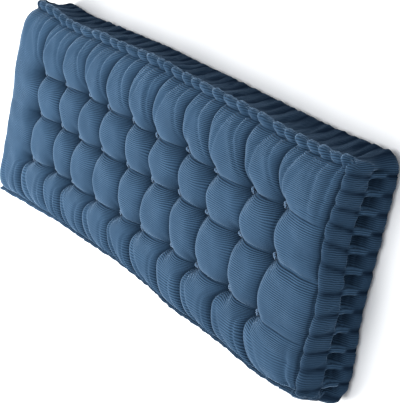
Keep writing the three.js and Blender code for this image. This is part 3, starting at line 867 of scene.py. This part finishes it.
def make_cushion():
    """The cushion's whole cover as one closed mesh, with the cloth's own coordinates as its UVs."""
    net = Net()
    px, py = round_corners(net.x, net.y, STITCH_INSET)
    face = np.arange(px.size).reshape(px.shape)
    rim = rim_of(face)
    plan = np.column_stack([px.ravel(), py.ravel()])
    side, way = sides_of(plan[rim])
    number, all_stitches = count_stitches(side)
    way_round, whole = travelled(side)
    z, face_painted_shade = face_height(net, stitches_by_edge(net, rim, number, all_stitches))
    border = Border(side, way, number, way_round)
    places = np.linspace(0, len(END_SECTION) - 1, SECTION_STEPS + 1)
    rows, painted_shades = zip(*(border.row(place) for place in places))
    face_points = np.column_stack([plan, z.ravel()])
    # The face's rim takes the border's first row
    face_points[rim] = rows[0]
    loops = [rim] + [face.size + len(rim) * k + np.arange(len(rim)) for k in range(SECTION_STEPS)]
    back_points = back_of(net)
    back = np.arange(back_points[..., 0].size).reshape(back_points.shape[:2])
    points = np.concatenate([face_points, *rows[1:], back_points.reshape(-1, 3)])
    # The shade to be painted on each point: the face's, the border's, and none on the back
    painted_shade = np.concatenate([smooth(face_painted_shade.ravel()), *painted_shades[1:], np.zeros(back.size)])
    back += loops[-1][-1] + 1

    cloth = fan_out(points)
    steps = [np.linalg.norm(b - a, axis=1) for a, b in zip(rows, rows[1:])]
    down = np.cumsum([np.zeros(len(rim)), *steps], axis=0)
    for loop, below in zip(loops[1:], down[1:]):
        cloth[loop] = rows[0][:, :2] + way * below[:, None] * BEAD_STRETCH
    upper_side = quads_of(face).tolist()
    round_side, round_uvs = border_faces(loops, cloth, down, way_round, whole)
    lower_side = back_faces(loops[-1], back, points)
    upper_uvs = [cloth[quad] for quad in upper_side]
    lower_uvs = [points[list(ids), :2] for ids in lower_side]

    points = lean(points)
    points[:, 2] = np.maximum(points[:, 2], 0)
    points[:, :2] -= MIDDLE
    cushion = add_mesh("cushion_cover", points.tolist(), upper_side + round_side + lower_side)
    uvs = np.concatenate(upper_uvs + round_uvs + lower_uvs)
    cushion.data.uv_layers.new(name="cloth").data.foreach_set("uv", uvs.ravel())
    cushion.data.attributes.new("painted_shade", "FLOAT", "POINT").data.foreach_set("value", painted_shade)
    return cushion


# A tie: its loop's foot over the tuft, its rise, half its length and how square its top is
TIE_FOOT = 0.006
TIE_RISE = 0.004
TIE_HALF = 0.005
TIE_SQUARENESS = 4
STRAND = 0.0019
STRAND_TWIST = 0.0014
STRAND_TURNS = 1.5
STRAND_RINGS = 29
STRAND_SIDES = 8
# Which way the ties point: about one direction, by a spread, in a sine's uneven steps
TIE_TURN = dict(middle=2.4, spread=0.5, pace=5.0)
TIE_TURN_STARTS = dict(lower=5, middle=6, upper=5)


def turn_of(column, row):
    way = np.sin(TIE_TURN["pace"] * column + TIE_TURN_STARTS[row])
    return TIE_TURN["middle"] + TIE_TURN["spread"] * way


def make_tie(name, tuft, turn):
    """One tie: two twisted strands of thread in a short loop that stands over its tuft."""
    t = np.linspace(0, 1, STRAND_RINGS)
    along = (2 * t - 1) * TIE_HALF
    up = TIE_FOOT + TIE_RISE * (1 - (2 * t - 1) ** TIE_SQUARENESS)
    slope = np.gradient(up, along)
    level = 1 / np.hypot(1, slope)
    way = np.array([np.cos(turn), np.sin(turn), 0])
    aside = np.array([-way[1], way[0], 0])
    over = np.outer(-slope * level, way) + np.outer(level, [0, 0, 1])
    spine = np.outer(along, way) + np.outer(up, [0, 0, 1])
    spine += [tuft[0] - MIDDLE[0], tuft[1] - MIDDLE[1], THICKNESS - TUFT_DEPTH]
    angles = np.linspace(0, 2 * pi, STRAND_SIDES, endpoint=False)
    points = []
    faces = []
    for start in (0, pi):
        twist = 2 * pi * STRAND_TURNS * t + start
        middle = spine + STRAND_TWIST * (np.cos(twist)[:, None] * aside + np.sin(twist)[:, None] * over)
        first = len(points) * STRAND_RINGS * STRAND_SIDES
        rings = [middle + STRAND * (np.cos(angle) * aside + np.sin(angle) * over) for angle in angles]
        points.append(np.stack(rings, axis=1).reshape(-1, 3))
        ids = first + np.arange(STRAND_RINGS * STRAND_SIDES).reshape(STRAND_RINGS, STRAND_SIDES)
        ids = np.column_stack([ids, ids[:, 0]])
        faces += quads_of(ids)[:, ::-1].tolist() + [ids[0, :-1].tolist(), ids[-1, :-1][::-1].tolist()]
    return add_mesh(name, np.concatenate(points).tolist(), faces)


class Value:
    """A number that varies over a surface. Sums written on it add Math nodes to its finish."""

    def __init__(self, finish, socket):
        self.finish = finish
        self.socket = socket

    def maths(self, operation, *terms):
        made = self.finish.node("ShaderNodeMath", dict(operation=operation), dict(enumerate(terms)))
        return Value(self.finish, made.outputs[0])

    def __add__(self, other):
        return self.maths("ADD", self, other)

    def __radd__(self, other):
        return self.maths("ADD", other, self)

    def __sub__(self, other):
        return self.maths("SUBTRACT", self, other)

    def __rsub__(self, other):
        return self.maths("SUBTRACT", other, self)

    def __mul__(self, other):
        return self.maths("MULTIPLY", self, other)

    def __rmul__(self, other):
        return self.maths("MULTIPLY", other, self)

    def __pow__(self, other):
        return self.maths("POWER", self, other)

    def sine(self):
        return self.maths("SINE", self)

    def absolute(self):
        return self.maths("ABSOLUTE", self)

    def clamped(self):
        return self.maths("MINIMUM", self.maths("MAXIMUM", self, 0.0), 1.0)


class Finish:
    """A material under construction."""

    def __init__(self, name):
        self.material = bpy.data.materials.new(name)
        self.material.use_nodes = True
        self.tree = self.material.node_tree
        self.shader = self.tree.nodes["Principled BSDF"]

    def fill(self, made, inputs):
        for key, value in inputs.items():
            if isinstance(value, Value):
                self.tree.links.new(value.socket, made.inputs[key])
            elif isinstance(value, bpy.types.NodeSocket):
                self.tree.links.new(value, made.inputs[key])
            else:
                made.inputs[key].default_value = value

    def node(self, kind, settings=None, inputs=None):
        made = self.tree.nodes.new(kind)
        for key, value in (settings or {}).items():
            setattr(made, key, value)
        self.fill(made, inputs or {})
        return made

    def shade(self, **inputs):
        self.fill(self.shader, {key.replace("_", " "): value for key, value in inputs.items()})

    def cover(self, share, colour):
        """Covers a share of the surface with a plain matt colour."""
        matt = self.node(
            "ShaderNodeBsdfPrincipled",
            None,
            {"Base Color": colour, "Roughness": 1.0, "Specular IOR Level": 0.0},
        )
        shaders = {0: share, 1: self.shader.outputs[0], 2: matt.outputs[0]}
        both = self.node("ShaderNodeMixShader", None, shaders)
        self.tree.links.new(both.outputs[0], self.tree.nodes["Material Output"].inputs["Surface"])

    def place(self):
        """The place of each point, in metres."""
        return self.node("ShaderNodeTexCoord").outputs["Object"]

    def parts(self, vector):
        """The three numbers of a vector."""
        made = self.node("ShaderNodeSeparateXYZ", None, {0: vector})
        return [Value(self, part) for part in made.outputs]

    def noise(self, place, scale, detail=2.0, roughness=0.5):
        made = self.node(
            "ShaderNodeTexNoise",
            dict(noise_dimensions="3D"),
            {"Vector": place, "Scale": scale, "Detail": detail, "Roughness": roughness},
        )
        return Value(self, made.outputs["Fac"])

    def blend(self, share, a, b):
        made = self.node("ShaderNodeMix", dict(data_type="RGBA"), {0: share, 6: a, 7: b})
        return made.outputs[2]

    def bump(self, relief, strength, height):
        inputs = {"Height": relief, "Strength": strength, "Distance": height}
        return self.node("ShaderNodeBump", None, inputs).outputs[0]


WALE_PITCH = 0.0036
WALE_HEIGHT = 0.0012
CLOTH_DARK = (0.004, 0.012, 0.026, 1)
CLOTH_MID = (0.038, 0.086, 0.154, 1)
# The colour of the painted light on the ribs' crests
CLOTH_PAINTED_HIGHLIGHT = (0.068, 0.136, 0.226, 1)
# The colour of the painted sheen where the cloth is seen aslant
CLOTH_PAINTED_SHEEN = (0.170, 0.270, 0.390, 1)
# The colour of the painted shade in the folds and on the border
CLOTH_PAINTED_SHADE = (0.006, 0.013, 0.026, 1)
SHEEN_TINT = (0.50, 0.72, 1.00, 1)

# The cloth's uneven spots: their scale and grain
WANDER = dict(scale=9.0)
PILE = dict(scale=900.0, detail=3.0, roughness=0.6)
NAP = dict(scale=14.0, detail=3.0, roughness=0.55)
PATCHES = dict(scale=17.0, detail=2.0, roughness=0.5)
WALE_WANDER = 0.0016

# How much each thing counts: in how far the ribs show, in the cloth's tone, in the painted light on the
# ribs' crests, in the painted sheen of the rims, in the relief, and in the painted shade of the folds
RIBBED = dict(patches=3.6, less=1.45, away_from_lights=1.1, along=0.45, over=0.9)
TONE = dict(roundness=1.3, rib=0.70, faint=0.12, flat=0.29, pile=0.26, nap=0.42, along=0.12, less=0.03)
PAINTED_CREST_LIGHT = dict(roundness=3.0, rib=0.30, faint=0.15)
PAINTED_RIM_SHEEN = dict(narrowness=6.0, share=0.62)
RELIEF = dict(rib=0.7, faint=0.3, pile=0.03, strength=0.9)
FOLD_PAINTED_SHADE = dict(narrowness=1.4, share=0.95)


def corduroy():
    """Ribbed cotton velvet: wales of cut pile, with shade painted in the grooves and folds and light
    painted on the crests; soft, with the shader's sheen and a sheen painted on where it is seen aslant.
    """
    finish = Finish("corduroy")
    cloth = finish.node("ShaderNodeUVMap", dict(uv_map="cloth")).outputs[0]
    place = finish.place()
    shade_attribute = finish.node("ShaderNodeAttribute", dict(attribute_name="painted_shade"))
    painted_shade = Value(finish, shade_attribute.outputs["Fac"])
    across = finish.parts(cloth)[1]
    wander = finish.noise(place, **WANDER) * WALE_WANDER
    wale = ((across + wander) * (pi / WALE_PITCH)).sine().absolute()
    pile = finish.noise(place, **PILE)
    nap = finish.noise(place, **NAP)
    along, over, _ = finish.parts(place)
    _, away_from_lights, _ = finish.parts(finish.node("ShaderNodeNewGeometry").outputs["Normal"])
    # Where the pile lies flat its ribs hardly show, as over much of the left half. The shade painted in
    # the grooves also shows more on slopes that face +Y, away from the lights
    patchy = finish.noise(place, **PATCHES) * RIBBED["patches"] - RIBBED["less"]
    ribbed = patchy + away_from_lights * RIBBED["away_from_lights"] + along * RIBBED["along"] + over * RIBBED["over"]
    ribbed = ribbed.clamped()
    # The grooves between the ribs painted darker than their crests, as shade falls in them
    ribs = wale ** TONE["roundness"] * (ribbed * TONE["rib"] + TONE["faint"])
    tone = ribs + (1.0 - ribbed) * TONE["flat"] + pile * TONE["pile"] + nap * TONE["nap"]
    # The cloth's tone is a little darker towards the right end
    tone = tone - along * TONE["along"] - TONE["less"]
    shade = finish.blend(tone, CLOTH_DARK, CLOTH_MID)
    # Painted light on the ribs' crests
    crests = wale ** PAINTED_CREST_LIGHT["roundness"] * (ribbed * PAINTED_CREST_LIGHT["rib"] + PAINTED_CREST_LIGHT["faint"])
    colour = finish.blend(crests, shade, CLOTH_PAINTED_HIGHLIGHT)
    # A painted sheen: a pale colour blended in where the cloth is seen aslant, as cut pile is brightest
    # where it is seen from the side
    facing = finish.node("ShaderNodeLayerWeight", None, {"Blend": 0.5})
    aslant = Value(finish, facing.outputs["Facing"])
    colour = finish.blend(aslant ** PAINTED_RIM_SHEEN["narrowness"] * PAINTED_RIM_SHEEN["share"], colour, CLOTH_PAINTED_SHEEN)
    relief = wale * (ribbed * RELIEF["rib"] + RELIEF["faint"]) + pile * RELIEF["pile"]
    finish.shade(
        Base_Color=colour,
        Roughness=0.92,
        Specular_IOR_Level=0.12,
        Sheen_Weight=0.95,
        Sheen_Roughness=0.22,
        Sheen_Tint=SHEEN_TINT,
        Normal=finish.bump(relief, RELIEF["strength"], WALE_HEIGHT),
    )
    # Painted shade: a dark matt colour laid over the folds' depths and the border's shaded parts, where
    # hardly any light reaches the pile
    finish.cover(painted_shade ** FOLD_PAINTED_SHADE["narrowness"] * FOLD_PAINTED_SHADE["share"], CLOTH_PAINTED_SHADE)
    return finish.material


THREAD_DARK = (0.055, 0.120, 0.215, 1)
THREAD_LIGHT = (0.125, 0.230, 0.360, 1)
THREAD_FIBRES = dict(scale=700.0)
THREAD_RELIEF = dict(strength=0.5, height=0.0005)


def thread_finish():
    """Twisted thread, a little lighter than the cloth."""
    finish = Finish("tie_thread")
    fibres = finish.noise(finish.place(), **THREAD_FIBRES)
    finish.shade(
        Base_Color=finish.blend(fibres, THREAD_DARK, THREAD_LIGHT),
        Roughness=0.8,
        Sheen_Weight=0.5,
        Normal=finish.bump(fibres, **THREAD_RELIEF),
    )
    return finish.material


FLOOR_REACH = 12.0
FLOOR_GREY = (0.91, 0.91, 0.91, 1)
FLOOR_PALE = (0.93, 0.93, 0.93, 1)
FLOOR_SPOTS = dict(scale=3.0)


def make_floor():
    reach = FLOOR_REACH
    corners = [(-reach, -reach, 0), (reach, -reach, 0), (reach, reach, 0), (-reach, reach, 0)]
    floor = add_mesh("floor", corners, [(0, 1, 2, 3)])
    finish = Finish("floor")
    spots = finish.noise(finish.place(), **FLOOR_SPOTS)
    finish.shade(Base_Color=finish.blend(spots, FLOOR_GREY, FLOOR_PALE), Roughness=0.7)
    floor.data.materials.append(finish.material)


CAMERA_AT = Vector((1.9916, 0.6404, 1.4320))
CAMERA_ALONG = Vector((-0.7710, -0.2718, -0.5760))
PICTURE_UP = Vector((-0.3383, 0.9410, 0.0089))
CAMERA_LENS = 111.64
CAMERA_SENSOR = 36.0


def make_camera():
    data = bpy.data.cameras.new("camera")
    data.lens = CAMERA_LENS
    data.sensor_width = CAMERA_SENSOR
    camera = add_to_scene("camera", data)
    back = -CAMERA_ALONG.normalized()
    right = PICTURE_UP.cross(back).normalized()
    up = back.cross(right)
    turn = Matrix((right, up, back)).transposed()
    camera.matrix_world = Matrix.Translation(CAMERA_AT) @ turn.to_4x4()
    bpy.context.scene.camera = camera


LIGHTS = table(
    "name at aimed_at size power colour",
    ("window", (-2.1, -1.8, 2.0), (0, 0, 0.1), (2.2, 1.8), 120, (1.0, 0.99, 0.97)),
    ("overhead", (-0.2, -0.3, 3.0), (0, 0, 0), (3.0, 2.4), 90, (0.96, 0.98, 1.0)),
)
SKY_COLOUR = (0.95, 0.97, 1.0, 1)
SKY_STRENGTH = 0.75


def area_light(name, at, aimed_at, size, power, colour):
    data = bpy.data.lights.new(name, "AREA")
    data.shape = "RECTANGLE"
    data.size, data.size_y = size
    data.energy = power
    data.color = colour
    light = add_to_scene(name, data)
    light.location = at
    aim = Vector(aimed_at) - Vector(at)
    light.rotation_euler = aim.to_track_quat("-Z", "Y").to_euler()


def make_lights():
    for light in LIGHTS:
        area_light(**light)
    world = bpy.data.worlds.new("studio")
    bpy.context.scene.world = world
    world.use_nodes = True
    sky = world.node_tree.nodes["Background"]
    sky.inputs["Color"].default_value = SKY_COLOUR
    sky.inputs["Strength"].default_value = SKY_STRENGTH
    bpy.context.scene.view_settings.view_transform = "Standard"


def dress(piece, material, slot, *nodes):
    piece.data.materials.append(material)
    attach(piece, "root")
    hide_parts(*nodes)


make_camera()
cushion = make_cushion()
dress(cushion, corduroy(), "corduroy", "cushion")
thread = thread_finish()
for column, tufts in enumerate(TUFTS, 1):
    for row in TUFT_ROWS:
        tie = make_tie(f"tie_{row}_{column}", tufts[row], turn_of(column, row))
        dress(tie, thread, "tie_thread", f"tuft_tie_{row}_{column}")
make_floor()
make_lights()
